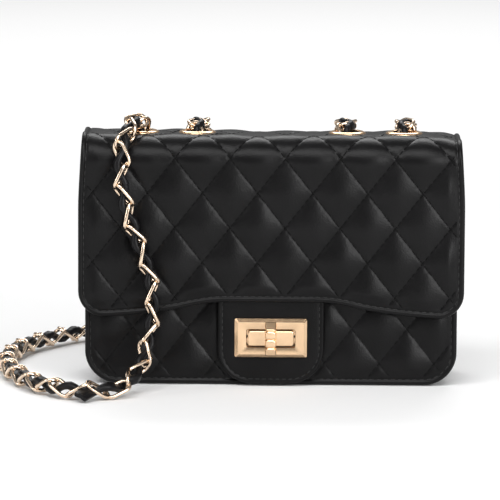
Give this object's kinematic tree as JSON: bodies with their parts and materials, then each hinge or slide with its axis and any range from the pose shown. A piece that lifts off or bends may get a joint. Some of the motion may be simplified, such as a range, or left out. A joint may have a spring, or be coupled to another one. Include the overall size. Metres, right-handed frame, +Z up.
{
  "type": "crossbody purse",
  "caption": "Small box-shaped quilted leather flap bag with a turn lock on its tongue and a chain strap threaded through eyelets in its top.",
  "frame": {"origin": "middle of the bag's bottom, on the surface it stands on", "axes": "+X to the right as the front is looked at, +Y towards the back, +Z up"},
  "size_m": [0.2572, 0.2243, 0.1497],
  "materials": {
    "quilted_leather": "semi-gloss black imitation leather, padded and stitched in diamonds",
    "smooth_leather": "semi-gloss black imitation leather, fine grain",
    "lining_leather": "matt black imitation leather",
    "lining_cloth": "black woven lining cloth",
    "stiff_board": "plain stiffening board",
    "gold_metal": "polished pale gold plating",
    "plain_metal": "plain stamped steel",
    "chain_strap": "gold chain threaded with a black leather ribbon"
  },
  "bodies": {
    "bag": {"front_panel": "quilted_leather", "back_panel": "quilted_leather", "side_gusset_left": "smooth_leather", "side_gusset_right": "smooth_leather", "bottom_panel": "smooth_leather", "front_rim": "smooth_leather", "back_rim": "smooth_leather", "base_board": "stiff_board", "front_lining": "lining_cloth", "back_lining": "lining_cloth", "gusset_lining": "lining_cloth", "slip_pocket": "lining_cloth", "mouth_binding": "smooth_leather", "flap_fold": "quilted_leather", "lock_base": "gold_metal", "lock_backing": "plain_metal", "lock_rivets": "plain_metal", "strap_front": "chain_strap", "strap_rear": "chain_strap", "strap_short": "chain_strap"},
    "flap": {"flap_leather": "quilted_leather", "flap_lining": "lining_leather", "tongue": "smooth_leather", "tongue_lining": "lining_leather", "lock_plate": "gold_metal", "lock_plate_backing": "gold_metal", "lock_plate_rivets": "gold_metal", "eyelet_left_outer": "gold_metal", "eyelet_left_inner": "gold_metal", "eyelet_right_inner": "gold_metal", "eyelet_right_outer": "gold_metal", "eyelet_washers": "gold_metal", "strap_inner_left": "chain_strap", "strap_inner_right": "chain_strap"},
    "knob": {"turn_knob": "gold_metal", "knob_shaft": "gold_metal", "knob_clip": "plain_metal"}
  },
  "joints": [
    {"name": "flap_hinge", "type": "hinge", "parent": "bag", "child": "flap", "pos_m": [0, 0.02956, 0.12956], "axis": [-1, 0, 0], "range_deg": [0, 120], "deforming": ["flap_fold", "strap_front", "strap_rear", "strap_short"]},
    {"name": "knob_turn", "type": "hinge", "parent": "bag", "child": "knob", "pos_m": [0, -0.03, 0.0266], "axis": [0, 1, 0], "range_deg": [0, 90]}
  ]
}
